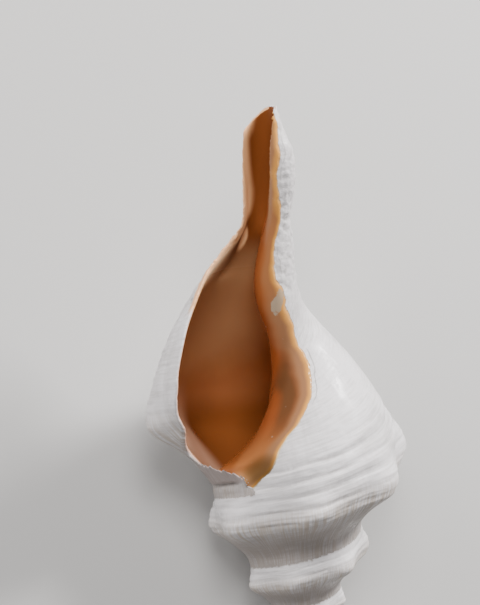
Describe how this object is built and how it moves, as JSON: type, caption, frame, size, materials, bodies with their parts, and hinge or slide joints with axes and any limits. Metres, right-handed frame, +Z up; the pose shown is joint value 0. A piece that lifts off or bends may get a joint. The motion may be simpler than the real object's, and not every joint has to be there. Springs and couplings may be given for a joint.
{
  "type": "horse conch shell",
  "caption": "Large spindle-shaped sea snail shell with a knobbed shoulder, a pointed spire, a wide open mouth and a long open canal, lying mouth up.",
  "frame": {"origin": "bottom centre of the bounding box of the shell as it lies, on the surface it rests on", "axes": "+Z up; +Y along the shell toward the tip of the canal, which is raised 24 degrees; the spire is at -Y; the mouth faces up"},
  "size_m": [0.1826, 0.3662, 0.1752],
  "materials": {
    "shell": "chalky white outside, polished peach-orange inside the mouth and the canal"
  },
  "bodies": {
    "root": {"shell": "shell"}
  },
  "joints": []
}
